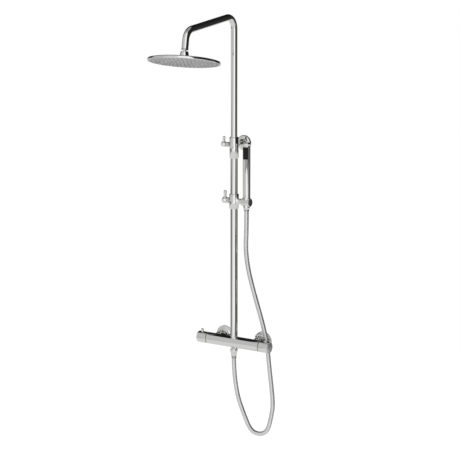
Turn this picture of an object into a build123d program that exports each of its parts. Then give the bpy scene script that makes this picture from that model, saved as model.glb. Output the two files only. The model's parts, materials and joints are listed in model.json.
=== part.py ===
"""Wall-held thermostatic shower column: bar mixer, telescopic riser with a swivelling arm and
rain head, hand shower on a sliding holder, and a flexible hose. Millimetres, +Z up, the wall is
the plane y = 0, the user stands at -Y, and the origin is midway between the two wall inlets."""
import math
import os

from build123d import *

# ------------------------------------------------------------------ driving dimensions
inlet_spacing = 150.0        # wall inlets, centre to centre
bar_offset = 64.0            # axis of the bar and of the riser, out from the wall
bar_r = 19.0                 # body and knobs
body_half = 100.5            # half length of the valve body
knob_end = 138.0             # outer face of either knob, from the middle
knob_gap = 3.0               # open groove between the body and a knob

lower_pipe_r = 12.0
lower_pipe_bore = 11.0
lower_pipe_top = 640.0
arm_pipe_r = 10.5
arm_pipe_bore = 9.3
arm_bottom = 360.0           # lower end of the telescopic pipe, inside the riser
arm_top = 1076.0             # where the riser line and the arm line cross
arm_reach = 283.7            # riser axis to the head's ball joint
arm_slope = 6.7              # degrees, falling towards the head
arm_lean = 10.0              # degrees, the drop to the head leans out from upright
elbow_r = 38.0
ball_height = 975.3          # centre of the ball joint

head_r = 112.3
head_rim = 10.0              # height of the rim
head_drop = 29.0             # ball centre down to the spray face
head_pitch = 12.6            # degrees, front edge up, as the head is set
head_roll = 3.8              # degrees, left edge down, as the head is set
ball_r = 9.0
arm_end = 15.8               # ball centre to the end of the pipe

collar_bottom, collar_top, collar_r = 616.0, 685.0, 14.7
bracket_height = 659.0       # wall bracket and clamp knob of the collar
slider_bottom, slider_top, slider_r = 450.0, 498.0, 15.7
holder_height = 475.0        # clamp knob and tilting holder of the slider

handset_x = 48.0
handset_r = 12.4
handset_bottom, handset_top = 489.2, 670.0
spray_bottom, spray_top = 617.5, 656.0

thread_half_inch = 10.48     # radius over a G1/2 thread
thread_three_quarter = 13.2  # radius over a G3/4 thread
fit = 0.05                   # radial gap of a running or seated fit
hose_r = 7.5
hose_start = -55.0           # under the crimp on the valve outlet
hose_end = 446.5             # under the crimp on the hand shower

# points that the hose passes, from the bar's centre: right, towards the wall, up
hose_points = [
    (0, 0, hose_start), (0, 0, -83), (4, 2, -136), (13, 5, -192), (35.5, 8, -249),
    (55.5, 12, -295.5), (78, 14, -308.5), (103.5, 17, -306), (122.5, 19, -289), (133, 22, -241),
    (137.5, 25, -202), (130, 28, -150), (122, 30, -98), (115, 31, -46), (109.5, 32, 2),
    (101, 31.5, 35), (90, 31, 75), (71, 30, 133), (52, 29, 192), (36.5, 27.5, 251),
    (34, 17.5, 314), (handset_x, 0, 387), (handset_x, 0, hose_end),
]

inlet_x = inlet_spacing / 2
column = (0, -bar_offset, 0)
BASE = (Align.CENTER, Align.CENTER, Align.MIN)
TURN = {"X": Rot(0, 90, 0), "Y": Rot(-90, 0, 0), "Z": Rot(0, 0, 0)}


# ------------------------------------------------------------------ shape helpers
def rod(radius, start, end, axis="Z", at=column):
    """Cylinder along an axis, from start to end measured from the point at."""
    return Pos(*at) * TURN[axis] * Pos(0, 0, start) * Cylinder(radius, end - start, align=BASE)


def tube(outer, inner, start, end, axis="Z", at=column):
    return rod(outer, start, end, axis, at) - rod(inner, start - 1, end + 1, axis, at)


def side_rod(radius, near, far, side):
    """Cylinder on the bar's axis between two distances from the middle, on the side -1 or 1."""
    ends = sorted((side * near, side * far))
    return rod(radius, ends[0], ends[1], "X")


def turned(outline, axis="Z", at=column):
    """Solid turned about an axis from (radius, distance along the axis) corners."""
    face = make_face(Plane.XZ * Polyline(*outline, close=True))
    return Pos(*at) * TURN[axis] * revolve(face, Axis.Z)


def mirrored(shape):
    """The shape and its mirror image across the middle plane, as one group."""
    return Compound(children=[shape, mirror(shape, Plane.YZ)])


def soften(shape, axis, radius, ends=(0, -1)):
    """Rounds the outer edge at one or both ends along an axis."""
    for end in ends:
        edges = shape.edges().filter_by(GeomType.CIRCLE).group_by(axis)[end]
        widest = edges.sort_by(lambda edge: edge.radius)[-1]
        shape = fillet([widest], radius)
    return shape


# ------------------------------------------------------------------ bar mixer
cartridge_r = 15.0
cartridge_depth = 38.0
boss_end = bar_offset - 34.0      # rear face of the inlet bosses, along +Y from the bar axis
socket_floor = 12.0               # floor of the riser socket, above the bar axis
outlet_top = -14.0


def valve_body():
    body = soften(rod(bar_r, -body_half, body_half, "X"), Axis.X, 0.8)
    for side in (-1, 1):
        inlet = (side * inlet_x, -bar_offset, 0)
        body += rod(thread_three_quarter, 0, boss_end, "Y", inlet)
    body -= rod(8, -body_half, body_half, "X")
    for side in (-1, 1):
        mouth = side * body_half
        floor = side * (body_half - cartridge_depth)
        body -= rod(cartridge_r, min(mouth, floor), max(mouth, floor), "X")
        body -= rod(7, 12, boss_end + 1, "Y", (side * inlet_x, -bar_offset, 0))
    body -= rod(lower_pipe_r + 0.1, socket_floor, bar_r + 1)
    body -= rod(9, 0, socket_floor + 1)
    return body - rod(9.2, -bar_r - 1, 0)


def cartridge(side):
    """Cartridge that fills one end of the body; its bore carries the spindle."""
    core = side_rod(cartridge_r - 0.1, body_half - cartridge_depth + 0.5, body_half - 3, side)
    core += side_rod(7, body_half - 3, body_half + 4, side)
    for groove in (10, 20, 30):
        place = side * (body_half - groove)
        core -= tube(cartridge_r + 1, cartridge_r - 1.2, place - 1.5, place + 1.5, "X")
    return core - side_rod(4 + fit, body_half - 10, body_half + 5, side)


def cartridge_nuts():
    start, end = body_half - 2.9, body_half + 3
    nut = rod(cartridge_r - 0.1, start, body_half, "X")
    hexagon = RegularPolygon(15.6, 6)
    nut += Pos(*column) * TURN["X"] * Pos(0, 0, body_half) * extrude(hexagon, 3)
    return mirrored(nut - rod(7.1, start - 1, end + 1, "X"))


def stop_ring():
    """Plastic ring with a tab that limits the turn of a knob."""
    ring = tube(14.5, 7.3, body_half + 3.1, body_half + 6, "X")
    return ring + rod(1.5, 0, 5, "X", (body_half + 3.1, -bar_offset, 12.5))


def knob(side):
    """Hollow knob with a splined hub and a recess for its end cap."""
    shell = soften(side_rod(bar_r, body_half + knob_gap, knob_end, side), Axis.X, 0.8)
    shell -= side_rod(16.5, body_half, knob_end - 6, side)
    shell += side_rod(7.5, body_half + 11, knob_end - 5.5, side)
    shell -= side_rod(4 + fit, body_half, knob_end - 6, side)
    shell -= side_rod(1.7, knob_end - 7, knob_end, side)
    shell -= side_rod(3.7, knob_end - 3.6, knob_end, side)
    return shell - side_rod(17.2, knob_end - 1.5, knob_end + 1, side)


def spindle(side):
    shaft = side_rod(4, body_half - 9.5, knob_end - 8, side)
    return shaft - side_rod(1.6, knob_end - 16, knob_end - 7, side)


def knob_screw(side):
    """Screw through the end wall of a knob into its spindle."""
    shank = side_rod(1.55, knob_end - 15, knob_end - 3.5, side)
    return shank + side_rod(3.6, knob_end - 3.5, knob_end - 1.7, side)


def knob_cap(side):
    return side_rod(17.1, knob_end - 1.45, knob_end - 0.1, side)


button_x = -125.4
button_r = 4.6
button_at = (button_x, -bar_offset, 0)


def safety_button():
    """Domed push button that stands out of the top of the temperature knob."""
    stem = rod(button_r, 13, 24.6, "Z", button_at)
    dome = Pos(button_x, -bar_offset, 24.6) * Sphere(button_r)
    flange = rod(5.7, 13, 14.6, "Z", button_at)
    return stem + dome + flange


def button_spring():
    wire = 0.35
    coil = Helix(1.1, 4.4, 3.2, center=(button_x, -bar_offset, 8.2))
    section = Plane(coil @ 0, z_dir=coil % 0) * Circle(wire)
    return sweep(section, path=coil, is_frenet=True)


# ------------------------------------------------------------------ wall unions
nut_start, nut_end = boss_end - 9, boss_end + 8      # along +Y from the bar axis


def union_nuts():
    hexagon = Pos(inlet_x, -bar_offset, 0) * TURN["Y"] * Pos(0, 0, nut_start)
    nut = hexagon * extrude(RegularPolygon(17.8, 6), nut_end - nut_start)
    at = (inlet_x, -bar_offset, 0)
    nut &= turned([(0, nut_start), (16.2, nut_start), (17.9, nut_start + 1.7),
                   (17.9, nut_end - 1.7), (16.2, nut_end), (0, nut_end)], "Y", at)
    nut -= rod(thread_three_quarter + fit, nut_start - 1, boss_end + 4.6, "Y", at)
    return mirrored(nut - rod(11, nut_start, nut_end + 1, "Y", at))


def wall_unions():
    """Flanged tubes that screw into the wall; their flanges sit inside the union nuts."""
    at = (inlet_x, -bar_offset, 0)
    union = rod(12.9, boss_end + 2.1, boss_end + 4.5, "Y", at)
    union += rod(10.2, boss_end + 4, bar_offset + 3, "Y", at)
    union += rod(thread_half_inch, bar_offset + 2, bar_offset + 15, "Y", at)
    return mirrored(union - rod(7.5, boss_end, bar_offset + 20, "Y", at))


def union_washers():
    return mirrored(tube(12.8, 8, boss_end + 0.05, boss_end + 2.05, "Y", (inlet_x, -bar_offset, 0)))


def escutcheons():
    """Stepped wall plates round the unions."""
    at = (inlet_x, 0, 0)
    plate = turned([(10.9, 0), (32.3, 0), (32.3, -3.2), (31.0, -4.4), (24.5, -5.6), (22.8, -8.0),
                    (16.5, -9.2), (15.0, -11.5), (10.9, -11.5)], "Y", at)
    return mirrored(plate)


# ------------------------------------------------------------------ riser pipes
def riser_spigot():
    """Nipple in the socket of the body; the lower pipe pushes over its two seals."""
    spigot = rod(9 - fit, 4, socket_floor)
    spigot += rod(lower_pipe_bore - 0.3, socket_floor + fit, 46)
    spigot += rod(8.5, socket_floor - 1, socket_floor + 1)
    for seal in (21, 34):
        spigot -= tube(12, 9.6, seal - fit, seal + 2.4 + fit)
    return spigot - rod(6.5, 0, 50)


def riser_seals():
    return Compound(children=[tube(lower_pipe_bore - 0.02, 9.62, seal, seal + 2.4)
                              for seal in (21, 34)])


def lower_riser_pipe():
    return tube(lower_pipe_r, lower_pipe_bore, socket_floor + 0.1, lower_pipe_top)


def arm_path():
    """Up the riser, out over the user, and down to the head along a line that leans outwards."""
    fall, lean = math.tan(math.radians(arm_slope)), math.tan(math.radians(arm_lean))
    bend_y = (-arm_reach + (arm_top - ball_height) * lean) / (1 - fall * lean)
    end_y = -arm_reach + arm_end * math.sin(math.radians(arm_lean))
    end_z = ball_height + arm_end * math.cos(math.radians(arm_lean))
    corners = [(0, arm_bottom), (0, arm_top), (bend_y, arm_top + bend_y * fall), (end_y, end_z)]
    points = [(0, y - bar_offset, z) for y, z in corners]
    return FilletPolyline(*points, radius=elbow_r)


def riser_arm():
    """Telescopic pipe, bent out over the user and down to the head."""
    path = arm_path()
    start = Plane(path @ 0, z_dir=path % 0)
    return sweep(start * Circle(arm_pipe_r), path) - sweep(start * Circle(arm_pipe_bore), path)


def arm_gland():
    """Guide plug that closes the gap under the telescopic pipe and slides with it."""
    plug = rod(lower_pipe_bore - fit, arm_bottom - 10, arm_bottom - 0.1)
    plug -= tube(12, 9.7, arm_bottom - 6.5, arm_bottom - 4)
    plug += rod(arm_pipe_bore - fit, arm_bottom - 2, arm_bottom + 12)
    return plug - rod(7, arm_bottom - 20, arm_bottom + 20)


# ------------------------------------------------------------------ riser collar and bracket
stub_r = 8.0
stub_end = 29.0
collar_knob_end = 46.0
clamp_z = (0, -bar_offset, bracket_height)


def collar():
    body = rod(collar_r, collar_bottom, collar_top)
    body = chamfer(body.edges().filter_by(GeomType.CIRCLE), 1.2)
    body += rod(stub_r, -stub_end, -5, "X", clamp_z)
    body += rod(stub_r, 5, 20, "Y", clamp_z)
    body -= rod(lower_pipe_r + fit, collar_bottom - 1, lower_pipe_top + 0.1)
    body -= rod(13.3, lower_pipe_top, collar_top - 2.5)
    body -= rod(arm_pipe_r + 0.4, lower_pipe_top, collar_top + 1)
    body -= rod(4.1, 12, 21, "Y", clamp_z)
    return body - rod(5.2, -stub_end - 1, 0, "X", clamp_z)


def collar_bush():
    """Plastic guide for the telescopic pipe, with a window for the clamp pad."""
    bush = tube(13.2, arm_pipe_r + 0.06, lower_pipe_top + 0.2, collar_top - 2.6)
    return bush - rod(5.5, -20, 0, "X", clamp_z)


def clamp_pad(face, end, at):
    return rod(5.1, -end, -face, "X", at)


def collar_ring():
    return tube(7.6, 4.2, -stub_end - 1.9, -stub_end - 0.1, "X", clamp_z)


def lever_knob(radius, near, far, stem, at):
    """Round clamp knob with a screwed stem; near and far are distances left of the column."""
    body = soften(rod(radius, -far, -near, "X", at), Axis.X, 1.2, ends=(0,))
    body += rod(4, -near - 2, -stem, "X", at)
    middle = (at[0] - (near + far) / 2, at[1], at[2])
    return body - rod(2.9, radius - 6, radius + 1, "Z", middle)


def lever_pin(radius, near, far, knob_radius, top, at):
    middle = (at[0] - (near + far) / 2, at[1], at[2])
    pin = rod(radius, knob_radius - 0.6, top - radius, "Z", middle)
    pin += Pos(middle[0], middle[1], middle[2] + top - radius) * Sphere(radius)
    pin -= rod(knob_radius + fit, -far, -near, "X", at)
    return pin + rod(2.85, knob_radius - 5.5, knob_radius + 2, "Z", middle)


def bracket_neck():
    """Round bar from the wall plate to the collar, with a stud at each end."""
    neck = rod(stub_r, 20.1, bar_offset - 9, "Y", clamp_z)
    neck += rod(4, 13.6, 21, "Y", clamp_z)
    return neck + rod(5, bar_offset - 10, bar_offset - 1.5, "Y", clamp_z)


def wall_flange():
    at = (0, 0, bracket_height)
    shell = turned([(stub_r + 0.3, 0), (25.4, 0), (25.4, -4.5), (24.0, -7), (19.5, -9), (13.5, -10.6),
                    (12.5, -14), (stub_r + 0.3, -14)], "Y", at)
    return shell - rod(22.3, -6, 1, "Y", at)


plate_screw_x = 14.0


def wall_plate():
    at = (0, 0, bracket_height)
    plate = rod(22, -3.5, 0, "Y", at) + rod(7.6, -8.9, -1, "Y", at)
    plate -= rod(5 + fit, -10, -1.4, "Y", at)
    for side in (-1, 1):
        plate -= rod(2.25, -5, 1, "Y", (side * plate_screw_x, 0, bracket_height))
    return plate


def wall_screws():
    at = (plate_screw_x, 0, bracket_height)
    screw = rod(2, -4, 16, "Y", at) + turned([(0, -5.6), (2.4, -5.6), (3.8, -4.6), (3.8, -3.55),
                                              (0, -3.55)], "Y", at)
    screw -= Pos(plate_screw_x, -5.4, bracket_height) * Box(4.4, 1.2, 0.8)
    return mirrored(screw)


# ------------------------------------------------------------------ slider and holder
slider_knob_r = 9.7
slider_stub_end = 26.0
slider_knob_end = 42.0
slider_arm_r = 9.0
slider_arm_end = 32.6
holder_start, holder_end, holder_r = 33.5, 62.5, 13.8
pivot_r = 5.0
tilt_axis = (0, -bar_offset, holder_height)
handset_at = (handset_x, -bar_offset, 0)
cone_top_r, cone_foot_r = 12.1, 10.9      # cone nut of the hose, at the handset and at the foot
cone_foot = 458.0


def slider_body():
    body = rod(slider_r, slider_bottom, slider_top)
    body = chamfer(body.edges().filter_by(GeomType.CIRCLE), 1.2)
    body += rod(slider_knob_r, -slider_stub_end, -8, "X", tilt_axis)
    body += rod(slider_arm_r, 8, slider_arm_end, "X", tilt_axis)
    body -= rod(13.1, slider_bottom - 1, slider_top + 1)
    body -= rod(5.2, -slider_stub_end - 1, 0, "X", tilt_axis)
    body -= rod(pivot_r + fit, 8, slider_arm_end + 1, "X", tilt_axis)
    return body - rod(6.8, 18.4, 21.1, "X", tilt_axis)


def slider_liner():
    """Plastic sleeve that runs on the pipe; the slider body turns on it."""
    return tube(13.1 - fit, lower_pipe_r + fit, slider_bottom + 0.5, slider_top - 0.5)


def cone_line(z):
    """Radius of the hose's cone nut at a height."""
    share = (z - cone_foot) / (handset_bottom - cone_foot)
    return cone_foot_r + share * (cone_top_r - cone_foot_r)


def handset_holder():
    """Barrel that tilts on its pivot; a cone-shaped seat runs down through it, open at the back."""
    barrel = soften(rod(holder_r, holder_start, holder_end, "X", tilt_axis), Axis.X, 1.5)
    low, high = holder_height - holder_r - 1, holder_height + holder_r + 1
    barrel -= turned([(0, low), (cone_line(low) + fit, low), (cone_line(high) + fit, high),
                      (0, high)], "Z", handset_at)
    slot = 2 * hose_r + 2
    barrel -= Pos(handset_x, -bar_offset + 10, holder_height) * Box(slot, 20, 4 * holder_r)
    barrel += rod(pivot_r, 17, holder_start + 0.5, "X", tilt_axis)
    return barrel - tube(pivot_r + 1, 4.2, 18.8, 20.7, "X", tilt_axis)


def holder_clip():
    return tube(6.4, 4.25, 18.9, 20.6, "X", tilt_axis)


def holder_washer():
    return tube(8.4, pivot_r + 0.1, slider_arm_end + 0.1, holder_start - 0.1, "X", tilt_axis)


# ------------------------------------------------------------------ hand shower
spray_angle = 104.0          # arc of the black spray face, centred on the user's side
cap_bottom = 661.0


def spray_sector(outer, inner, bottom, top, angle):
    """Part of a tube wall, centred on -Y."""
    section = CenterArc((0, 0), (outer + inner) / 2, -90 - angle / 2, angle)
    face = trace(section, outer - inner)
    return Pos(handset_x, -bar_offset, bottom) * extrude(face, top - bottom)


def handset_body():
    body = tube(handset_r, 9, handset_bottom, cap_bottom, "Z", handset_at)
    foot = turned([(handset_r - 0.9, handset_bottom), (handset_r + 1, handset_bottom),
                   (handset_r + 1, handset_bottom + 0.9), (handset_r, handset_bottom + 0.9)],
                  "Z", handset_at)
    return body - foot - spray_sector(handset_r + 1, 10.8, spray_bottom, spray_top, spray_angle)


def handset_cap():
    """Domed plug that closes the top of the hand shower."""
    cap = soften(rod(handset_r, cap_bottom + 0.15, handset_top, "Z", handset_at), Axis.Z, 2.5, (-1,))
    return cap + rod(8.95, cap_bottom - 9, cap_bottom + 1, "Z", handset_at)


def handset_face():
    return spray_sector(handset_r + 0.1, 10.9, spray_bottom + 0.1, spray_top - 0.1,
                        spray_angle - 0.8)


def handset_nozzles():
    """Rows of small jets on the spray face, each pointing out from the handle's axis."""
    jets = []
    for column_number in (-1, 0, 1):
        for row in range(8):
            height = spray_bottom + 5.3 + 4.0 * row
            turn = Rot(0, 0, 22 * column_number) * Rot(90, 0, 0)
            jet = turn * Pos(0, 0, handset_r + 0.12) * Cylinder(0.7, 0.6, align=BASE)
            jets.append(Pos(handset_x, -bar_offset, height) * jet)
    return Compound(children=jets)


def handset_inlet():
    inlet = rod(thread_half_inch, handset_bottom - 11, handset_bottom - fit, "Z", handset_at)
    inlet += rod(9 - fit, handset_bottom - 1, handset_bottom + 14, "Z", handset_at)
    return inlet - rod(6.5, handset_bottom - 20, handset_bottom + 20, "Z", handset_at)


# ------------------------------------------------------------------ hose and its ends
crimp_r = 8.3
nut_foot = -47.0             # lower face of the nut on the valve outlet
cone_tip = 452.0             # lower face of the cone nut under the hand shower


def hose_outlet():
    """Threaded outlet under the bar."""
    outlet = rod(9.15, -23.2, outlet_top + 5) + rod(thread_half_inch, -33, -23)
    return outlet - rod(6, -40, 0)


def outlet_nut():
    """Nut of the hose at the valve, with a grip ring above a slimmer skirt."""
    nut = turned([(0, -23.6), (11.6, -23.6), (12.4, -24.4), (12.4, -29.8), (12.0, -30.4),
                  (12.0, -35.4), (11.0, -36.4), (9.9, -37.2), (9.7, -46.2), (9.0, nut_foot),
                  (0, nut_foot)])
    nut -= rod(thread_half_inch + fit, -35.2, -20)
    for turn in range(24):
        groove = Pos(0, -bar_offset, 0) * Rot(0, 0, 15 * turn) * Pos(12.1, 0, -33)
        nut -= groove * Cylinder(0.45, 4.4)
    return nut - rod(8, -50, -30)


def cone_nut():
    """Long cone nut of the hose that seats in the holder."""
    top = handset_bottom - 0.1
    nut = turned([(0, top), (cone_line(top), top), (cone_foot_r, cone_foot), (9.2, cone_tip),
                  (0, cone_tip)], "Z", handset_at)
    nut -= rod(thread_half_inch + fit, handset_bottom - 12.5, handset_bottom, "Z", handset_at)
    return nut - rod(8, cone_tip - 1, handset_bottom, "Z", handset_at)


def outlet_crimp():
    low = rod(crimp_r, hose_start, nut_foot - 0.1) + rod(7.9, nut_foot - 1, -35.4)
    return low - rod(4.5, hose_start - 1, -30)


def handset_crimp():
    foot = cone_tip - 0.1
    sleeve = rod(8.4, hose_end, foot, "Z", handset_at)
    sleeve += rod(7.9, foot - 1, handset_bottom - 13, "Z", handset_at)
    return sleeve - rod(4.5, hose_end - 1, handset_bottom, "Z", handset_at)


def hose_route():
    """Route points in the part's own frame, with the radius of the arc at each corner."""
    points = [Vector(x, y - bar_offset, z) for x, y, z in hose_points]
    radii = []
    for before, here, after in zip(points, points[1:], points[2:]):
        turn = math.radians((here - before).get_angle(after - here))
        run = min((here - before).length, (after - here).length)
        radii.append(0.45 * run / math.tan(turn / 2))
    return points, radii


def shower_hose():
    points, radii = hose_route()
    path = FilletPolyline(*points, radius=radii)
    solid = sweep(Plane(path @ 0, z_dir=path % 0) * Circle(hose_r), path)
    expected = math.pi * hose_r ** 2 * path.length
    print("hose: arc radii", [round(radius) for radius in radii])
    print("hose: length %.0f mm, volume / (section x length) %.4f" %
          (path.length, solid.volume / expected))
    return solid


# ------------------------------------------------------------------ ball joint and rain head
joint = Pos(0, -bar_offset - arm_reach, ball_height)
ball = joint * Rot(-arm_lean, 0, 0)                        # in line with the end of the arm
head_frame = joint * Rot(0, -head_roll, 0) * Rot(-head_pitch, 0, 0)    # square with the head


def turned_head(outline):
    face = make_face(Plane.XZ * Polyline(*outline, close=True))
    return head_frame * revolve(face, Axis.Z)


def ball_stud():
    """Plug in the end of the arm that carries the ball."""
    stud = Sphere(ball_r) + Pos(0, 0, 6) * Cylinder(4.8, 5, align=BASE)
    stud += Pos(0, 0, 10.6) * Cylinder(11, arm_end - 10.7, align=BASE)
    stud += Pos(0, 0, arm_end - 1) * Cylinder(arm_pipe_bore - fit, 8, align=BASE)
    return ball * (stud - Pos(0, 0, -20) * Cylinder(3.2, 60, align=BASE))


def ball_seat():
    """Thin plastic cup between the ball and the head; it turns about the ball's centre."""
    cup = Sphere(ball_r + 1.35) - Sphere(ball_r + fit)
    cup &= Pos(0, 0, -7.5) * Cylinder(20, 6.3, align=BASE)
    return ball * cup


def ball_nut():
    low, top, cut = -11.0, 6.4, 2.3
    outer = [(0, low), (13.4, low), (14.0, low + 0.7), (13.6, -3.5), (11.7, top - 1), (10.9, top),
             (0, top)]
    nut = revolve(make_face(Plane.XZ * Polyline(*outer, close=True)), Axis.Z)
    nut -= Pos(0, 0, low - 1) * Cylinder(12.0 + fit, -3.9 - low + 1, align=BASE)
    lower = Sphere(ball_r + 1.35 + fit) & Pos(0, 0, -20) * Cylinder(20, 20 + cut, align=BASE)
    nut -= lower + Sphere(ball_r + fit)
    nut -= Pos(0, 0, 5) * Cylinder(7.3, 5, align=BASE)
    return head_frame * nut


def head_shell():
    """Domed disc with a rim and a screwed hub for the ball nut."""
    top = -head_drop + head_rim
    outline = [(0, -4), (12.0, -4), (12.0, -11.4), (14.5, -12.2), (18, -15.2), (34, -17.4),
               (head_r - 8, top - 0.2), (head_r - 1.6, top - 1.6), (head_r, top - 4.0),
               (head_r, -head_drop + 1.2), (head_r - 1.2, -head_drop), (head_r - 3.4, -head_drop),
               (head_r - 3.4, -head_drop + 2.6), (head_r - 6, -head_drop + 2.6),
               (head_r - 6, top - 2.6), (18, -19.0), (9, -19.0), (9, -14), (0, -14)]
    shell = turned_head(outline)
    shell -= head_frame * Sphere(ball_r + 1.35 + fit)
    return shell - head_frame * Pos(0, 0, -18) * Cylinder(5.5, 16, align=BASE)


def head_face():
    plate = turned_head([(0, -head_drop + 0.3), (head_r - 3.5, -head_drop + 0.3),
                         (head_r - 3.5, -head_drop + 2.5), (0, -head_drop + 2.5)])
    return plate


def head_seal():
    low = -head_drop + 2.65
    return turned_head([(head_r - 9.5, low), (head_r - 6.1, low), (head_r - 6.1, low + 2),
                        (head_r - 9.5, low + 2)])


nozzle_rings = 8
nozzle_pitch = 12.6


def head_nozzles():
    """Rings of soft nozzles under the spray face, six more in each ring outwards."""
    nub = Cone(1.15, 1.9, 1.8, align=BASE)
    places = [(0.0, 0.0)]
    for ring in range(1, nozzle_rings + 1):
        for number in range(6 * ring):
            places.append((ring * nozzle_pitch, 60.0 * number / ring))
    low = -head_drop + 0.25 - 1.8
    return Compound(children=[head_frame * Rot(0, 0, angle) * Pos(radius, 0, low) * nub
                              for radius, angle in places])


# ------------------------------------------------------------------ write one file per piece
collar_middle_pin = (4.4, stub_end + 2, collar_knob_end, stub_r, 26.5, clamp_z)
slider_middle_pin = (4.9, slider_stub_end + 0.6, slider_knob_end, slider_knob_r, 33.0, tilt_axis)
button_hole = rod(button_r + 0.06, 10, 20, "Z", button_at)

parts = {
    "valve_body": valve_body(),
    "thermostatic_cartridge": cartridge(-1),
    "flow_cartridge": cartridge(1),
    "cartridge_nuts": cartridge_nuts(),
    "stop_rings": mirrored(stop_ring()),
    "temperature_knob": knob(-1) - button_hole,
    "temperature_spindle": spindle(-1),
    "temperature_knob_screw": knob_screw(-1),
    "temperature_knob_cap": knob_cap(-1),
    "safety_button": safety_button(),
    "button_spring": button_spring(),
    "flow_knob": knob(1),
    "flow_spindle": spindle(1),
    "flow_knob_screw": knob_screw(1),
    "flow_knob_cap": knob_cap(1),
    "union_nuts": union_nuts(),
    "wall_unions": wall_unions(),
    "union_washers": union_washers(),
    "escutcheons": escutcheons(),
    "riser_spigot": riser_spigot(),
    "riser_seals": riser_seals(),
    "lower_riser_pipe": lower_riser_pipe(),
    "riser_arm": riser_arm(),
    "arm_gland": arm_gland(),
    "collar": collar(),
    "collar_bush": collar_bush(),
    "collar_clamp_pad": clamp_pad(11.0, 24.0, clamp_z),
    "collar_ring": collar_ring(),
    "collar_knob": lever_knob(stub_r, stub_end + 2, collar_knob_end, 25.0, clamp_z),
    "collar_knob_pin": lever_pin(*collar_middle_pin),
    "bracket_neck": bracket_neck(),
    "wall_flange": wall_flange(),
    "wall_plate": wall_plate(),
    "wall_screws": wall_screws(),
    "slider_body": slider_body(),
    "slider_liner": slider_liner(),
    "slider_clamp_pad": clamp_pad(13.4, 22.0, tilt_axis),
    "slider_knob": lever_knob(slider_knob_r, slider_stub_end + 0.6, slider_knob_end, 22.6, tilt_axis),
    "slider_knob_pin": lever_pin(*slider_middle_pin),
    "handset_holder": handset_holder(),
    "holder_clip": holder_clip(),
    "holder_washer": holder_washer(),
    "handset_body": handset_body(),
    "handset_cap": handset_cap(),
    "handset_face": handset_face(),
    "handset_nozzles": handset_nozzles(),
    "handset_inlet": handset_inlet(),
    "hose_outlet": hose_outlet(),
    "hose_outlet_nut": outlet_nut(),
    "hose_outlet_crimp": outlet_crimp(),
    "hose_cone_nut": cone_nut(),
    "hose_handset_crimp": handset_crimp(),
    "shower_hose": shower_hose(),
    "ball_stud": ball_stud(),
    "ball_seat": ball_seat(),
    "ball_nut": ball_nut(),
    "head_shell": head_shell(),
    "head_face": head_face(),
    "head_seal": head_seal(),
    "head_nozzles": head_nozzles(),
}

os.makedirs("parts", exist_ok=True)
for name, shape in parts.items():
    export_step(shape, f"parts/{name}.step")
print(len(parts), "parts")
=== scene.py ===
# %% [markdown]
# # A wall-held shower column
#
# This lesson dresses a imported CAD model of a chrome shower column: a bar mixer, a telescopic
# riser with a rain head, a hand shower on a slider, and a hose. The CAD model is the frame. It
# has the true shapes and sizes and says what moves. Blender adds what CAD leaves plain: smooth
# bright surfaces, rows of nozzles, a ribbed hose, light and a camera.

# %% Load the frame
import json
import math

import bmesh
import bpy
from mathutils import Euler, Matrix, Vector

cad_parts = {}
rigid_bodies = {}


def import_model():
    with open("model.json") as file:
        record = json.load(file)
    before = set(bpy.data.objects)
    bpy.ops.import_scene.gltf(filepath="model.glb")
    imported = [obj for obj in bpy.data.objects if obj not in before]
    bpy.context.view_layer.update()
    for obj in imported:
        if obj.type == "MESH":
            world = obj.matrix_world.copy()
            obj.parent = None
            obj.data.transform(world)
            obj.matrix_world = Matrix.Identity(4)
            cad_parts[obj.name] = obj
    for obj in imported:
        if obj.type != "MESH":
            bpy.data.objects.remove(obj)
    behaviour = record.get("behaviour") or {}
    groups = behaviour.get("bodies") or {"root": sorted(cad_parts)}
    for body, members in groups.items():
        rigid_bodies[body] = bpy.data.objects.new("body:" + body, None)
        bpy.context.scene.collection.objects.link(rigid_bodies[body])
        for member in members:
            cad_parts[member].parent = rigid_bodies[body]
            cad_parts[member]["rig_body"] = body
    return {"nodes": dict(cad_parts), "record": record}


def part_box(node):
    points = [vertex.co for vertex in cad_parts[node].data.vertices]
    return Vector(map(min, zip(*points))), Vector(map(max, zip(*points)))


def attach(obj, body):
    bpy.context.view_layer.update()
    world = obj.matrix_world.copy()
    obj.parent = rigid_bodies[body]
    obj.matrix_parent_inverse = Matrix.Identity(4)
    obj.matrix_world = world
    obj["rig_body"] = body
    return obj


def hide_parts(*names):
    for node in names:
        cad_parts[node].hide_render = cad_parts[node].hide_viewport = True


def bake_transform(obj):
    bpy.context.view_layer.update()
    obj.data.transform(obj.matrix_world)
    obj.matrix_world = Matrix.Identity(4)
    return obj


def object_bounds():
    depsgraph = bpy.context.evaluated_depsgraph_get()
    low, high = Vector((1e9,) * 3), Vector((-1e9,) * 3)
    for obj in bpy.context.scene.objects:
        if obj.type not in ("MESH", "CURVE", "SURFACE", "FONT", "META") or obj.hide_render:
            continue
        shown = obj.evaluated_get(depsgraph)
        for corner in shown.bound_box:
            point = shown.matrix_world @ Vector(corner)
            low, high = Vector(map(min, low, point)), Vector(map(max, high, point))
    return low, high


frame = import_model()
cad_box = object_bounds()
nodes = frame["nodes"]
print(len(nodes), "pieces, box in metres:", [round(value, 3) for value in (*cad_box[0], *cad_box[1])])

# %% [markdown]
# ## Camera
#
# The camera comes first, because it decides how much of the object is seen. A long lens from
# the right and from slightly above keeps upright pipes upright. The middle of the bar is found
# from the valve body's box, and the camera looks at a point on the riser above it.

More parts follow.
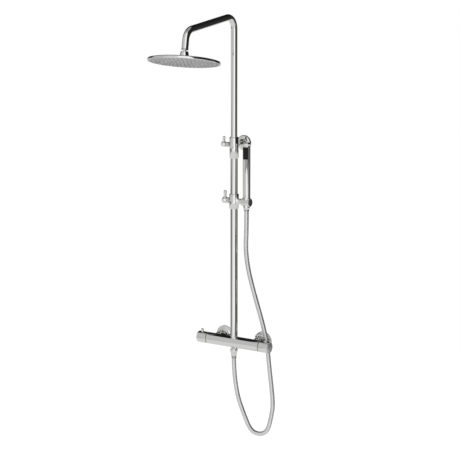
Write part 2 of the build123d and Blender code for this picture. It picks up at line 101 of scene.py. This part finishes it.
# %% Camera
MM = 0.001
bar_radius = 19 * MM
bar_centre = Vector((0.0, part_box("valve_body")[0].y + bar_radius, 0.0))
turn = math.radians(32.41)
drop = math.radians(11.22)
distance = 5.31
sight = Vector((-math.sin(turn) * math.cos(drop), math.cos(turn) * math.cos(drop), -math.sin(drop)))
right = Vector((math.cos(turn), math.sin(turn), 0.0))
upward = right.cross(sight)
aim = bar_centre - 0.0132 * right + 0.3712 * upward

camera_data = bpy.data.cameras.new("camera")
camera_data.sensor_width = 36.0
camera_data.lens = camera_data.sensor_width * 1600 / 460
camera_data.clip_end = 60.0
camera = bpy.data.objects.new("camera", camera_data)
camera.location = aim - distance * sight
camera.rotation_mode = "QUATERNION"
camera.rotation_quaternion = sight.to_track_quat("-Z", "Y")
bpy.context.scene.collection.objects.link(camera)
bpy.context.scene.camera = camera
print("lens", round(camera_data.lens, 1), "mm, camera at", [round(value, 2) for value in camera.location])

# %% [markdown]
# ## Shader arithmetic
#
# A shader tree is easier to read as a sum than as a list of links. The class below wraps a
# socket, so that `1 - mask * 0.5` adds the Math nodes by itself. Any other node comes from one
# method, `add`, which takes the node's type, its settings and its inputs.


# %% Wires and boards
class Wire:
    """A shader socket that can be used in a sum or a product."""

    def __init__(self, board, socket):
        self.board = board
        self.socket = socket

    def _maths(self, operation, first, second=None):
        values = {0: first} if second is None else {0: first, 1: second}
        return self.board.add("ShaderNodeMath", {"operation": operation}, values)

    def __add__(self, other):
        return self._maths("ADD", self, other)

    __radd__ = __add__

    def __sub__(self, other):
        return self._maths("SUBTRACT", self, other)

    def __rsub__(self, other):
        return self._maths("SUBTRACT", other, self)

    def __mul__(self, other):
        return self._maths("MULTIPLY", self, other)

    __rmul__ = __mul__

    def __truediv__(self, other):
        return self._maths("DIVIDE", self, other)

    def __pow__(self, other):
        return self._maths("POWER", self, other)

    def sine(self):
        return self._maths("SINE", self)

    def angle_to(self, other):
        return self._maths("ARCTAN2", self, other)


class Board:
    """Adds nodes to one tree."""

    def __init__(self, tree):
        self.tree = tree
        tree.nodes.clear()

    def add(self, kind, settings=None, inputs=None, output=0):
        node = self.tree.nodes.new(kind)
        for name, value in (settings or {}).items():
            if name == "stops":
                self._set_stops(node.color_ramp, value)
            else:
                setattr(node, name, value)
        for name, value in (inputs or {}).items():
            if isinstance(value, Wire):
                self.tree.links.new(value.socket, node.inputs[name])
            else:
                node.inputs[name].default_value = value
        return Wire(self, node.outputs[output]) if node.outputs else node

    @staticmethod
    def _set_stops(ramp, stops):
        while len(ramp.elements) < len(stops):
            ramp.elements.new(1.0)
        for element, (place, level) in zip(ramp.elements, stops):
            element.position = place
            element.color = (level, level, level, 1.0) if isinstance(level, float) else (*level, 1.0)


print("shader classes ready")

# %% [markdown]
# ## Studio
#
# Chrome has no colour of its own. It shows the room, so the room is designed like the light
# tent of a product studio: a white window behind the camera, grey cloth on the left, and a dark
# card on the right. The pipes pick these up as upright bands. The world's brightness is worked
# out from the direction of view: a bearing measured from the camera, and a height. Four rings
# of tones, deep, low, level and high, are blended by height. The high ring is nearly black at the
# back, which draws the dark line along the top of the bar and of the arm.

# %% World
world = bpy.data.worlds.new("light tent")
bpy.context.scene.world = world
world.use_nodes = True
tent = Board(world.node_tree)
view_back = Vector((-sight.x, -sight.y, 0.0)).normalized()


def dot_with(board, vector, direction):
    return board.add("ShaderNodeVectorMath", {"operation": "DOT_PRODUCT"},
                     {0: vector, 1: direction}, output="Value")


ray = tent.add("ShaderNodeTexCoord", output="Generated")
across = dot_with(tent, ray, right)
along = dot_with(tent, ray, view_back)
height = dot_with(tent, ray, Vector((0.0, 0.0, 1.0)))
bearing = across.angle_to(along) / (2 * math.pi) + 0.5


def ring_of_tones(*stops):
    """Tones round the room; each stop is a bearing in degrees, positive to the right, and a tone."""
    places = [(degrees / 360 + 0.5, level) for degrees, level in stops]
    return tent.add("ShaderNodeValToRGB", {"stops": places}, {"Fac": bearing})


def between_heights(start, end, below, above):
    share = tent.add("ShaderNodeMapRange", inputs={0: height, 1: start, 2: end, 3: 0.0, 4: 1.0})
    return tent.add("ShaderNodeMix", {"data_type": "RGBA"}, {0: share, 6: below, 7: above}, output=2)


low_ring = ring_of_tones(
    (-180, 0.56), (-142, 0.48), (-118, 0.22), (-71, 0.18), (-61, 0.70), (-37, 0.72), (-28, 0.92), (0, 0.94),
    (6, 1.12), (25, 1.12), (31, 0.13), (90, 0.13), (111, 0.12), (118, 0.02), (140, 0.02), (152, 0.45),
    (180, 0.56))
level_ring = ring_of_tones(
    (-180, 0.70), (-130, 0.66), (-66, 0.62), (-56, 0.42), (-25, 0.42), (-15, 0.78), (2, 0.86), (9, 1.20),
    (31, 1.20), (39, 0.11), (110, 0.13), (117, 0.02), (140, 0.03), (155, 0.32), (180, 0.52))
high_ring = ring_of_tones(
    (-180, 0.012), (-122, 0.012), (-114, 0.55), (-62, 0.55), (-57, 0.63), (-22, 0.65), (-15, 1.02),
    (26, 1.02), (34, 0.018), (112, 0.016), (115, 0.03), (118, 0.012), (180, 0.012))
deep_ring = ring_of_tones((-180, 0.75), (62, 0.75), (80, 0.015), (142, 0.015), (165, 0.60), (180, 0.75))
under = between_heights(-0.44, -0.34, deep_ring, low_ring)
walls = between_heights(-0.13, -0.02, between_heights(-0.17, -0.11, under, level_ring), high_ring)
tone = between_heights(0.82, 0.90, walls, (0.35, 0.35, 0.35, 1.0))
seen_by_camera = tent.add("ShaderNodeLightPath", output="Is Camera Ray")
reflected = tent.add("ShaderNodeBackground", inputs={"Color": tone, "Strength": 1.0})
backdrop = tent.add("ShaderNodeBackground", inputs={"Color": (1.0, 1.0, 1.0, 1.0), "Strength": 1.0})
shown = tent.add("ShaderNodeMixShader", inputs={0: seen_by_camera, 1: reflected, 2: backdrop})
tent.add("ShaderNodeOutputWorld", inputs={"Surface": shown})
bpy.context.scene.view_settings.view_transform = "Standard"
print("world made")

# %% [markdown]
# ## Floor and lamps
#
# The floor is a plain pale plane where a bathroom floor would be, about a metre under the bar.
# It glows for the camera, so that it stays as white as the backdrop, and shows grey in the
# chrome. It is small, so that the pipes show the room and not the floor. One large soft lamp
# models the plastics and the rubber. It is kept out of reflections, because the chrome has the
# whole tent to show.

# %% Floor and lamps
floor_height = -1.05
floor_mesh = bpy.data.meshes.new("floor")
half_floor = 3.2
floor_mesh.from_pydata([(-half_floor, -half_floor, floor_height), (half_floor, -half_floor, floor_height),
                        (half_floor, half_floor, floor_height), (-half_floor, half_floor, floor_height)],
                       [], [(0, 1, 2, 3)])
floor = bpy.data.objects.new("floor", floor_mesh)
bpy.context.scene.collection.objects.link(floor)
floor_paint = bpy.data.materials.new("pale floor")
floor_paint.use_nodes = True
paint = Board(floor_paint.node_tree)
grain = paint.add("ShaderNodeTexNoise", inputs={"Scale": 3.0, "Detail": 4.0})
looked_at = paint.add("ShaderNodeLightPath", output="Is Camera Ray")
glow = paint.add("ShaderNodeEmission", inputs={"Color": (1, 1, 1, 1), "Strength": looked_at * 0.42 + 0.75})
matt = paint.add("ShaderNodeBsdfPrincipled", inputs={
    "Base Color": (0.86, 0.86, 0.86, 1.0), "Roughness": grain * 0.1 + 0.75})
mixed = paint.add("ShaderNodeMixShader", inputs={0: 0.12, 1: glow, 2: matt})
paint.add("ShaderNodeOutputMaterial", inputs={"Surface": mixed})
floor_mesh.materials.append(floor_paint)


def soft_lamp(name, place, target, width, height, watts):
    data = bpy.data.lights.new(name, "AREA")
    data.shape = "RECTANGLE"
    data.size, data.size_y, data.energy = width, height, watts
    lamp = bpy.data.objects.new(name, data)
    lamp.location = place
    lamp.rotation_mode = "QUATERNION"
    lamp.rotation_quaternion = (Vector(target) - Vector(place)).to_track_quat("-Z", "Y")
    bpy.context.scene.collection.objects.link(lamp)
    return lamp


centre = (cad_box[0] + cad_box[1]) / 2
key = soft_lamp("key", centre + view_back * 2.4 + right * -0.6 + Vector((0, 0, 0.6)), centre, 0.5, 2.2, 18)
key.visible_glossy = False
print("floor at", floor_height, "with", key.name, "lamp")

# %% [markdown]
# ## Finishes
#
# Most of the column is chrome plate: fully metallic and almost mirror-smooth. What makes it look
# real is small: a faint, broad change in roughness where water has dried and hands have wiped,
# and a very shallow waviness of the polished brass under the plate. Both come from noise on
# Object coordinates, so they stay put on the piece.


# %% Finishes for metal
def new_finish(name):
    material = bpy.data.materials.new(name)
    material.use_nodes = True
    return material, Board(material.node_tree)


def object_place(board, scale=1.0):
    place = board.add("ShaderNodeTexCoord", output="Object")
    if scale == 1.0:
        return place
    return board.add("ShaderNodeVectorMath", {"operation": "SCALE"}, {0: place, "Scale": scale})


def noise(board, place, scale, detail=3.0, roughness=0.5):
    return board.add("ShaderNodeTexNoise", inputs={
        "Vector": place, "Scale": scale, "Detail": detail, "Roughness": roughness})


def bump(board, level, strength, depth):
    return board.add("ShaderNodeBump", inputs={
        "Height": level, "Strength": strength, "Distance": depth})


def shade_between(board, factor, first, second):
    return board.add("ShaderNodeMix", {"data_type": "RGBA"},
                     {0: factor, 6: (*first, 1.0), 7: (*second, 1.0)}, output=2)


def finish_surface(board, **sockets):
    names = {name.replace("_", " ").title().replace("Ior", "IOR"): value for name, value in sockets.items()}
    surface = board.add("ShaderNodeBsdfPrincipled", inputs=names)
    board.add("ShaderNodeOutputMaterial", inputs={"Surface": surface})


def metal(name, light, dark, smoothest, roughest, wave=0.05):
    material, board = new_finish(name)
    place = object_place(board)
    smears = noise(board, place, 9.0, 4.0, 0.6)
    specks = noise(board, place, 260.0, 2.0)
    level = smears * 0.8 + specks * 0.2
    waviness = noise(board, place, 34.0, 1.0)
    finish_surface(board, base_color=shade_between(board, level, light, dark), metallic=1.0,
                   roughness=level * (roughest - smoothest) + smoothest,
                   normal=bump(board, waviness, wave, 0.0004))
    return material


chrome = metal("polished chrome", (0.89, 0.89, 0.88), (0.85, 0.85, 0.845), 0.02, 0.05, 0.006)
steel = metal("plain steel", (0.62, 0.62, 0.61), (0.50, 0.50, 0.50), 0.22, 0.40, 0.2)
brass = metal("machined brass", (0.74, 0.58, 0.30), (0.62, 0.47, 0.22), 0.18, 0.35, 0.2)
print("metals:", [material.name for material in (chrome, steel, brass)])

# %% [markdown]
# The flat discs in the ends of the two knobs are satin, not bright. They are brushed in rings,
# as a disc is when it turns under the brush, so the pattern follows the distance from the
# bar's axis.


# %% Satin end discs
def satin_disc():
    material, board = new_finish("satin end disc")
    place = object_place(board)
    parts = board.add("ShaderNodeVectorMath", {"operation": "SUBTRACT"}, {0: place, 1: bar_centre})
    flat = board.add("ShaderNodeVectorMath", {"operation": "MULTIPLY"}, {0: parts, 1: (0.0, 1.0, 1.0)})
    radius = board.add("ShaderNodeVectorMath", {"operation": "LENGTH"}, {0: flat}, output="Value")
    ring_place = board.add("ShaderNodeCombineXYZ", inputs={"X": radius})
    rings = noise(board, ring_place, 3200.0, 2.0)
    finish_surface(board, base_color=shade_between(board, rings, (0.60, 0.60, 0.60), (0.52, 0.52, 0.52)),
                   metallic=0.35, roughness=rings * 0.15 + 0.34, normal=bump(board, rings, 0.15, 0.00005))
    return material


satin = satin_disc()
print("made", satin.name)

# %% [markdown]
# The plastics and rubbers differ in gloss and in grain. Moulded acetal is milky with a fine
# texture, the black spray face is glossy with a faint orange-peel skin, and the grey spray plate
# of the head is matt, with a powdery grain.


# %% Finishes for plastic and rubber
def moulded(name, light, dark, gloss, spread, grain_scale, depth, shine=0.5):
    material, board = new_finish(name)
    place = object_place(board)
    grain = noise(board, place, grain_scale, 3.0, 0.6)
    cloud = noise(board, place, 18.0, 3.0)
    finish_surface(board, base_color=shade_between(board, cloud, light, dark), metallic=0.0,
                   roughness=grain * spread + gloss, specular_ior_level=shine,
                   normal=bump(board, grain, 0.25, depth))
    return material


acetal = moulded("moulded acetal", (0.84, 0.84, 0.82), (0.76, 0.76, 0.74), 0.38, 0.15, 900.0, 0.00005)
black_gloss = moulded("black moulding", (0.012, 0.012, 0.012), (0.018, 0.018, 0.018), 0.20, 0.12, 700.0,
                      0.00004, 0.04)
black_rubber = moulded("sealing rubber", (0.03, 0.03, 0.03), (0.05, 0.05, 0.05), 0.6, 0.2, 1200.0, 0.00005)
face_grey = moulded("matt spray plate", (0.52, 0.52, 0.52), (0.46, 0.46, 0.46), 0.5, 0.2, 1500.0, 0.00006)
nozzle_grey = moulded("grey soft nozzle", (0.38, 0.38, 0.38), (0.32, 0.32, 0.32), 0.55, 0.2, 1500.0, 0.00005)
jet_dark = moulded("dark soft jet", (0.035, 0.035, 0.035), (0.025, 0.025, 0.025), 0.5, 0.2, 1500.0,
                   0.00005, 0.1)
finishes = {
    "polished_chrome": chrome, "satin_cap": satin, "steel": steel, "raw_brass": brass,
    "engineering_plastic": acetal, "black_plastic": black_gloss, "black_rubber": black_rubber,
    "grey_face": face_grey, "nozzle_silicone": nozzle_grey, "jet_silicone": jet_dark}
print(len(finishes), "finishes")

# %% [markdown]
# ## Smooth surfaces from CAD pieces
#
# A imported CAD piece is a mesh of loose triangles. Bright metal shows each one as a flat spot, so
# a copy is welded into one surface and shaded smooth, with the real edges kept sharp. The copy
# stands for the CAD piece, which stays hidden and still does the colliding.

# %% Smooth copies
slot_of = {part["node"]: part["material_slot"] for part in frame["record"]["subparts"]}
WELD = 2e-6
edge_angle = math.radians(28)


def body_of(node):
    return nodes[node]["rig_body"]


def register(piece, body, slot, *stands_for):
    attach(piece, body)
    if stands_for:
        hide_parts(*stands_for)
    return piece


def new_piece(name, mesh, material):
    mesh.materials.clear()
    mesh.materials.append(material)
    piece = bpy.data.objects.new(name, mesh)
    bpy.context.scene.collection.objects.link(piece)
    return piece


def weld(mesh):
    work = bmesh.new()
    work.from_mesh(mesh)
    bmesh.ops.remove_doubles(work, verts=work.verts, dist=WELD)
    bmesh.ops.dissolve_degenerate(work, edges=work.edges, dist=WELD)
    work.to_mesh(mesh)
    work.free()
    mesh.shade_smooth()
    mesh.set_sharp_from_angle(angle=edge_angle)


inner_nodes = {"thermostatic_cartridge", "flow_cartridge", "cartridge_nuts", "stop_rings", "button_spring",
               "temperature_spindle", "flow_spindle", "temperature_knob_screw", "flow_knob_screw",
               "union_washers", "riser_spigot", "riser_seals", "arm_gland", "collar_bush", "wall_plate",
               "collar_clamp_pad", "slider_clamp_pad", "holder_clip", "handset_inlet", "head_seal",
               "ball_seat"}
made_new = {"shower_hose", "head_nozzles", "handset_nozzles"}
for name, node in nodes.items():
    if name in made_new:
        continue
    finish = finishes[slot_of[name]]
    if name in inner_nodes:
        node.data.materials.clear()
        node.data.materials.append(finish)
        continue
    surface = node.data.copy()
    weld(surface)
    register(new_piece(name + "_surface", surface, finish), body_of(name), slot_of[name], name)
print("smooth copies made of", len(nodes) - len(inner_nodes) - len(made_new), "pieces")

# %% [markdown]
# ## Nozzles of the rain head
#
# The spray face has a soft nozzle every half inch or so, in rings, with six more in each ring
# outwards. That is a rule, so a Geometry Nodes tree makes them: it works out each point's ring
# from its index, places it, and puts one small turned nozzle there.


# %% A turned shape
def turned_mesh(name, outline, sides):
    """Mesh turned about Z from (radius, height) corners; the first and last lie on the axis."""
    vertices = [(0.0, 0.0, outline[0][1])]
    for radius, level in outline[1:-1]:
        for side in range(sides):
            angle = 2 * math.pi * side / sides
            vertices.append((radius * math.cos(angle), radius * math.sin(angle), level))
    vertices.append((0.0, 0.0, outline[-1][1]))
    rings = len(outline) - 2
    faces = []
    for side in range(sides):
        after = (side + 1) % sides
        faces.append((0, 1 + after, 1 + side))
        for ring in range(rings - 1):
            low, high = 1 + ring * sides, 1 + (ring + 1) * sides
            faces.append((low + side, low + after, high + after, high + side))
        top = 1 + (rings - 1) * sides
        faces.append((top + side, top + after, len(vertices) - 1))
    mesh = bpy.data.meshes.new(name)
    mesh.from_pydata(vertices, [], faces)
    mesh.shade_smooth()
    mesh.set_sharp_from_angle(angle=math.radians(40))
    return mesh


nozzle_outline = [(0, 0.4), (1.95, 0.4), (1.8, -0.5), (1.35, -1.5), (1.1, -1.78), (0.55, -1.78),
                  (0.5, -1.1), (0, -1.1)]
nozzle_outline = [(radius * MM, level * MM) for radius, level in reversed(nozzle_outline)]
nozzle_mesh = turned_mesh("nozzle", nozzle_outline, 12)
print("one nozzle has", len(nozzle_mesh.polygons), "faces")


# %% Geometry Nodes helpers
def new_tree(name, inputs):
    tree = bpy.data.node_groups.new(name, "GeometryNodeTree")
    tree.interface.new_socket("Geometry", in_out="OUTPUT", socket_type="NodeSocketGeometry")
    for label, kind in inputs.items():
        tree.interface.new_socket(label, in_out="INPUT", socket_type=kind)
    board = Board(tree)
    entry = tree.nodes.new("NodeGroupInput")
    return tree, board, {label: Wire(board, entry.outputs[label]) for label in inputs}


def grow(name, tree, values, material, start=None):
    """Runs a tree on a mesh, or on nothing, and returns the result as a plain object."""
    seed = bpy.data.objects.new(name, start or bpy.data.meshes.new(name + " seed"))
    bpy.context.scene.collection.objects.link(seed)
    modifier = seed.modifiers.new("grow", "NODES")
    modifier.node_group = tree
    for item in tree.interface.items_tree:
        if item.in_out == "INPUT" and item.socket_type != "NodeSocketGeometry":
            modifier[item.identifier] = values[item.name]
    bpy.context.view_layer.update()
    evaluated = seed.evaluated_get(bpy.context.evaluated_depsgraph_get())
    result = bpy.data.meshes.new_from_object(evaluated)
    bpy.data.objects.remove(seed)
    return new_piece(name, result, material)


def stamp(board, points, stamp_object, turn_by, place_at, tilt, material):
    """Puts an object on points, makes it real, and moves the whole to its place."""
    shape = board.add("GeometryNodeObjectInfo", inputs={"Object": stamp_object}, output="Geometry")
    copies = board.add("GeometryNodeInstanceOnPoints",
                       inputs={"Points": points, "Instance": shape, "Rotation": turn_by})
    real = board.add("GeometryNodeRealizeInstances", inputs={"Geometry": copies})
    placed = board.add("GeometryNodeTransform",
                       inputs={"Geometry": real, "Translation": place_at, "Rotation": tilt})
    painted = board.add("GeometryNodeSetMaterial", inputs={"Geometry": placed, "Material": material})
    board.add("NodeGroupOutput", inputs={"Geometry": painted})


print("helpers ready")


# %% Rain head nozzles
def ring_tree():
    tree, board, entry = new_tree("nozzle rings", {
        "Count": "NodeSocketInt", "Pitch": "NodeSocketFloat", "Nozzle": "NodeSocketObject",
        "Place": "NodeSocketVector", "Tilt": "NodeSocketVector", "Finish": "NodeSocketMaterial"})
    index = board.add("GeometryNodeInputIndex")
    ring = board.add("ShaderNodeMath", {"operation": "CEIL"},
                     {0: ((index * 12 + 9) ** 0.5 - 3) / 6 - 1e-4})
    first = ring * (ring - 1) * 3 + 1
    angle = (index - first) / (ring * 6) * (2 * math.pi)
    radius = ring * entry["Pitch"]
    cosine = board.add("ShaderNodeMath", {"operation": "COSINE"}, {0: angle})
    spot = board.add("ShaderNodeCombineXYZ", inputs={"X": radius * cosine, "Y": radius * angle.sine()})
    points = board.add("GeometryNodePoints", inputs={"Count": entry["Count"], "Position": spot})
    stamp(board, points, entry["Nozzle"], (0.0, 0.0, 0.0), entry["Place"], entry["Tilt"], entry["Finish"])
    return tree


rings = 8
ball_centre = Vector((0.0, bar_centre.y - 283.7 * MM, 975.3 * MM))
head_tilt = (math.radians(-12.6), math.radians(-3.8), 0.0)
face_level = -28.7 * MM
tilt_matrix = Euler(head_tilt).to_matrix()
nozzle_stamp = bpy.data.objects.new("nozzle stamp", nozzle_mesh)
head_nozzles = grow("head_nozzle_rings", ring_tree(), {
    "Count": 1 + 3 * rings * (rings + 1), "Pitch": 12.6 * MM, "Nozzle": nozzle_stamp,
    "Place": ball_centre + tilt_matrix @ Vector((0, 0, face_level)), "Tilt": head_tilt,
    "Finish": nozzle_grey}, nozzle_grey)
register(head_nozzles, "head", "nozzle_silicone", "head_nozzles")
print(len(head_nozzles.data.polygons), "faces in the head's nozzles")

# %% [markdown]
# ## Nozzles of the hand shower
#
# The hand shower sprays from a tall black face with three columns of soft jets. The same stamp
# tree idea is used, but the points sit on the front of a round handset: the row sets the height
# and the column sets the bearing from the handset's axis.


# %% Handset nozzles
def fan_tree():
    tree, board, entry = new_tree("nozzle fan", {
        "Columns": "NodeSocketInt", "Rows": "NodeSocketInt", "Spread": "NodeSocketFloat",
        "Pitch": "NodeSocketFloat", "Radius": "NodeSocketFloat", "Nozzle": "NodeSocketObject",
        "Place": "NodeSocketVector", "Finish": "NodeSocketMaterial"})
    index = board.add("GeometryNodeInputIndex")
    row = board.add("ShaderNodeMath", {"operation": "FLOOR"}, {0: (index + 0.01) / entry["Columns"]})
    bearing = (index - row * entry["Columns"] - (entry["Columns"] - 1) * 0.5) * entry["Spread"]
    cosine = board.add("ShaderNodeMath", {"operation": "COSINE"}, {0: bearing})
    spot = board.add("ShaderNodeCombineXYZ", inputs={
        "X": bearing.sine() * entry["Radius"], "Y": cosine * entry["Radius"] * -1.0,
        "Z": row * entry["Pitch"]})
    points = board.add("GeometryNodePoints", inputs={
        "Count": entry["Columns"] * entry["Rows"], "Position": spot})
    facing = board.add("ShaderNodeCombineXYZ", inputs={"X": -math.pi / 2, "Z": bearing})
    stamp(board, points, entry["Nozzle"], facing, entry["Place"], (0.0, 0.0, 0.0), entry["Finish"])
    return tree


print("fan tree ready")


# %% Three columns of jets
jet_outline = [(0, 0.62), (0.45, 0.62), (0.7, 0.4), (0.85, -0.2), (0, -0.2)]
jet_mesh = turned_mesh("jet", [(radius * MM, level * MM) for radius, level in reversed(jet_outline)], 10)
jet_stamp = bpy.data.objects.new("jet stamp", jet_mesh)
handset_axis = Vector((48 * MM, bar_centre.y, 622.8 * MM))
handset_jets = grow("handset_jet_columns", fan_tree(), {
    "Columns": 3, "Rows": 8, "Spread": math.radians(22), "Pitch": 4.0 * MM, "Radius": 12.52 * MM,
    "Nozzle": jet_stamp, "Place": handset_axis, "Finish": jet_dark}, jet_dark)
register(handset_jets, "handset", "jet_silicone", "handset_nozzles")
print(len(handset_jets.data.polygons), "faces in the hand shower's jets")

# %% [markdown]
# ## The hose
#
# A shower hose is a strip of metal wound and folded into a tube round an inner rubber hose, so
# it shows hundreds of fine rings and bends like a stiff rope. Its route is short to describe: it
# drops out of the valve, turns in one loop, and climbs behind the bar to the hand shower. The
# route is one smooth NURBS line through the points below.

# %% Hose line
hose_route = [
    (0.0000, 0.0000, -0.0550), (0.0000, 0.0000, -0.0830), (0.0040, 0.0020, -0.1360),
    (0.0130, 0.0050, -0.1920), (0.0355, 0.0080, -0.2490), (0.0555, 0.0120, -0.2955),
    (0.0780, 0.0140, -0.3085), (0.1035, 0.0170, -0.3060), (0.1225, 0.0190, -0.2890),
    (0.1330, 0.0220, -0.2410), (0.1375, 0.0250, -0.2020), (0.1300, 0.0280, -0.1500),
    (0.1220, 0.0300, -0.0980), (0.1150, 0.0310, -0.0460), (0.1095, 0.0320, 0.0020),
    (0.1010, 0.0315, 0.0350), (0.0900, 0.0310, 0.0750), (0.0710, 0.0300, 0.1330),
    (0.0520, 0.0290, 0.1920), (0.0365, 0.0275, 0.2510), (0.0340, 0.0175, 0.3140),
    (0.0480, 0.0000, 0.3870), (0.0480, 0.0000, 0.4465)]


def smooth_line(route, steps):
    curve = bpy.data.curves.new("hose line", "CURVE")
    curve.dimensions = "3D"
    spline = curve.splines.new("NURBS")
    spline.points.add(len(route) - 1)
    for point, place in zip(spline.points, route):
        point.co = (*(Vector(place) + bar_centre), 1.0)
    spline.order_u = 3
    spline.use_endpoint_u = True
    spline.resolution_u = steps
    holder = bpy.data.objects.new("hose line", curve)
    bpy.context.scene.collection.objects.link(holder)
    bpy.context.view_layer.update()
    line = bpy.data.meshes.new_from_object(holder.evaluated_get(bpy.context.evaluated_depsgraph_get()))
    bpy.data.objects.remove(holder)
    return [vertex.co.copy() for vertex in line.vertices]


def length_of(points):
    return sum((after - before).length for before, after in zip(points, points[1:]))


hose_line = smooth_line(hose_route, 32)
print(len(hose_line), "points,", round(length_of(hose_line), 3), "m from end to end")

# %% [markdown]
# The rings come from a Geometry Nodes tree. It takes a stretch of the line, and makes a tube whose
# width goes up and down once every few millimetres of length. The tree is given the length that
# lies before the stretch, so the rings run on without a jump from one stretch to the next.


# %% Ringed tube
def ringed_tree():
    tree, board, entry = new_tree("ringed tube", {
        "Line": "NodeSocketGeometry", "Pitch": "NodeSocketFloat", "Step": "NodeSocketFloat",
        "Radius": "NodeSocketFloat", "Depth": "NodeSocketFloat", "Before": "NodeSocketFloat",
        "Sides": "NodeSocketInt", "Finish": "NodeSocketMaterial"})
    line = board.add("GeometryNodeMeshToCurve", inputs={"Mesh": entry["Line"]})
    even = board.add("GeometryNodeResampleCurve", {"mode": "LENGTH"},
                     {"Curve": line, "Length": entry["Step"]})
    along_line = board.add("GeometryNodeSplineParameter", output="Length") + entry["Before"]
    wave = board.add("ShaderNodeMath", {"operation": "COSINE"},
                     {0: along_line / entry["Pitch"] * (2 * math.pi)})
    groove = (wave * 0.5 + 0.5) ** 4
    circle = board.add("GeometryNodeCurvePrimitiveCircle",
                       inputs={"Resolution": entry["Sides"], "Radius": 1.0})
    tube = board.add("GeometryNodeCurveToMesh", inputs={
        "Curve": even, "Profile Curve": circle, "Scale": entry["Radius"] - groove * entry["Depth"],
        "Fill Caps": True})
    smooth = board.add("GeometryNodeSetShadeSmooth", inputs={"Geometry": tube})
    real = board.add("GeometryNodeRealizeInstances", inputs={"Geometry": smooth})
    painted = board.add("GeometryNodeSetMaterial", inputs={"Geometry": real, "Material": entry["Finish"]})
    board.add("NodeGroupOutput", inputs={"Geometry": painted})
    return tree


ringed = ringed_tree()
print("ringed tube tree has", len(ringed.nodes), "nodes")

# %% [markdown]
# The hose is held by the valve at one end and by the hand shower at the other, and four joints
# lie between them: the slider's height, its turn, the holder's tilt and the lift of the hand
# shower. The loop is cut at its lowest point, and the line above it is cut again at three heights.
# The leg from the outlet stays with the valve. Each other stretch is listed with the two bodies
# it lies between and the heights it spans, the rising leg's from the cut upwards, but these are
# not used: the stretch is only fixed in place as it is drawn, so it does not bend with the joints.


# %% Hose stretches
def first_above(level, start):
    return next(place for place in range(start, len(hose_line)) if hose_line[place].z >= level)


hose_finish = metal("wound hose", (0.88, 0.88, 0.88), (0.78, 0.78, 0.78), 0.12, 0.24, 0.1)
finishes["metal_hose"] = hose_finish
bottom = min(range(len(hose_line)), key=lambda place: hose_line[place].z)
cuts = [0, bottom] + [first_above(level, bottom) for level in (0.1765, 0.2655, 0.355)] + [len(hose_line) - 1]
lowest = hose_line[bottom].z
handset_z = hose_line[-1].z
stretches = [
    ("hose_outlet_leg", "mixer_and_riser", None, None, None),
    ("hose_rising_leg", "mixer_and_riser", "liner", lowest, hose_line[cuts[2]].z),
    ("hose_behind_slider", "liner", "slider", hose_line[cuts[2]].z, hose_line[cuts[3]].z),
    ("hose_under_holder", "slider", "holder", hose_line[cuts[3]].z, hose_line[cuts[4]].z),
    ("hose_at_handset", "holder", "handset", hose_line[cuts[4]].z, handset_z)]
hose_radius = 7.5 * MM
for (name, first_body, second_body, low, high), start, end in zip(stretches, cuts, cuts[1:]):
    path = hose_line[start:end + 1]
    line = bpy.data.meshes.new(name + " line")
    line.from_pydata(path, [(place, place + 1) for place in range(len(path) - 1)], [])
    stretch = grow(name, ringed, {
        "Pitch": 3.1 * MM, "Step": 0.52 * MM, "Radius": hose_radius, "Depth": 0.75 * MM,
        "Before": length_of(hose_line[:start + 1]), "Sides": 18, "Finish": hose_finish}, hose_finish, line)
    if second_body is None:
        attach(stretch, first_body)
    else:
        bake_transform(stretch)
    if start == 0:
        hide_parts("shower_hose")
    print(name, round(length_of(path), 3), "m,", len(stretch.data.polygons), "faces")
